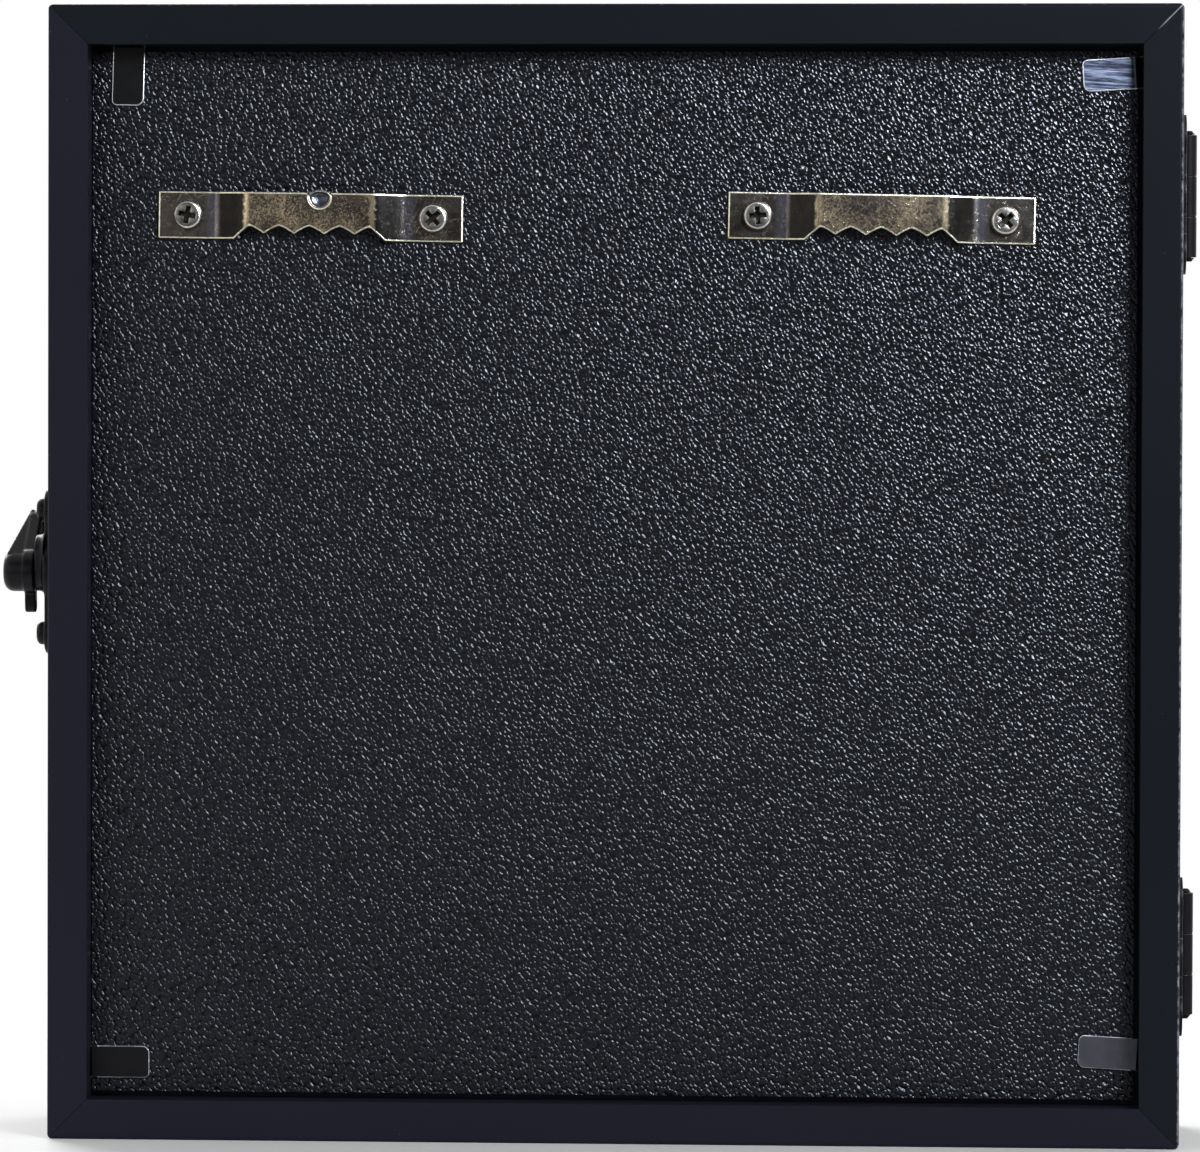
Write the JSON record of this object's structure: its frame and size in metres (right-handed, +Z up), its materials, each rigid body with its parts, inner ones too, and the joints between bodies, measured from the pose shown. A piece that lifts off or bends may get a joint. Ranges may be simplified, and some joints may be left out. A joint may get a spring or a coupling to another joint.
{
  "type": "butterfly display case",
  "caption": "Square black wooden shadow-box case with a glazed side-hinged door, swing hook latch, linen pinning board and a removable back with sawtooth hangers.",
  "frame": {"origin": "centre of the bottom face of the box behind the door", "axes": "+X towards the latch side, -Y towards the glass front, +Y towards the wall, +Z up"},
  "size_m": [0.2411, 0.0453, 0.228],
  "materials": {
    "frame_wood": "black stained and satin lacquered hardwood, mitred",
    "panel_board": "raw hardboard",
    "panel_skin": "black leather-grained paper",
    "foam": "white closed-cell foam",
    "linen": "off-white linen",
    "hanger_bronze": "antique bronze with rubbed edges",
    "screw_bronze": "dull nickel and bronze",
    "hinge_bronze": "blackened bronze",
    "latch_metal": "blackened cast metal",
    "rivet_metal": "blackened steel rivet",
    "point_black": "black steel strip",
    "point_bright": "bare brushed steel strip",
    "point_grey": "dull grey steel strip",
    "glass": "clear float glass"
  },
  "bodies": {
    "case": {"case_rail_top": "frame_wood", "case_rail_bottom": "frame_wood", "case_rail_hinge_side": "frame_wood", "case_rail_latch_side": "frame_wood", "back_panel": "panel_board", "back_panel_skin": "panel_skin", "pinning_board": "foam", "board_liner": "linen", "hanger_latch_side": "hanger_bronze", "hanger_hinge_side": "hanger_bronze", "hanger_screws": "screw_bronze", "hinge_upper_case_leaf": "hinge_bronze", "hinge_lower_case_leaf": "hinge_bronze", "hinge_upper_pin": "hinge_bronze", "hinge_lower_pin": "hinge_bronze", "hinge_case_screws": "hinge_bronze", "latch_plate": "latch_metal", "latch_rivet": "rivet_metal", "latch_plate_screws": "latch_metal", "framing_point_roots": "point_grey"},
    "door": {"door_rail_top": "frame_wood", "door_rail_bottom": "frame_wood", "door_rail_hinge_side": "frame_wood", "door_rail_latch_side": "frame_wood", "glass_pane": "glass", "glass_bead_top": "frame_wood", "glass_bead_bottom": "frame_wood", "glass_bead_hinge_side": "frame_wood", "glass_bead_latch_side": "frame_wood", "hinge_upper_door_leaf": "hinge_bronze", "hinge_lower_door_leaf": "hinge_bronze", "hinge_door_screws": "hinge_bronze", "catch_plate": "latch_metal", "catch_post": "rivet_metal", "catch_plate_screws": "latch_metal"},
    "hook": {"latch_hook": "latch_metal"},
    "point_top": {"framing_point_top": "point_black"},
    "point_upper": {"framing_point_upper": "point_bright"},
    "point_lower_latch": {"framing_point_lower_latch": "point_black"},
    "point_lower_hinge": {"framing_point_lower_hinge": "point_grey"}
  },
  "joints": [
    {"name": "door_hinge", "type": "hinge", "parent": "case", "child": "door", "pos_m": [-0.1152, -0.01015, 0.114], "axis": [0, 0, -1], "range_deg": [0, 180]},
    {"name": "hook_pivot", "type": "hinge", "parent": "case", "child": "hook", "pos_m": [0.1185, -0.0035, 0.114], "axis": [-1, 0, 0], "range_deg": [-40, 90]},
    {"name": "point_top_bend", "type": "hinge", "parent": "case", "child": "point_top", "pos_m": [0.09792, 0.0038, 0.2194], "axis": [0.9997, 0, 0.0262], "range_deg": [0, 80]},
    {"name": "point_upper_bend", "type": "hinge", "parent": "case", "child": "point_upper", "pos_m": [-0.1049, 0.0038, 0.21456], "axis": [0.061, 0, 0.9981], "range_deg": [0, 80]},
    {"name": "point_lower_latch_bend", "type": "hinge", "parent": "case", "child": "point_lower_latch", "pos_m": [0.1049, 0.0038, 0.0151], "axis": [0, 0, -1], "range_deg": [0, 80]},
    {"name": "point_lower_hinge_bend", "type": "hinge", "parent": "case", "child": "point_lower_hinge", "pos_m": [-0.1049, 0.0038, 0.01833], "axis": [-0.0523, 0, 0.9986], "range_deg": [0, 80]}
  ]
}
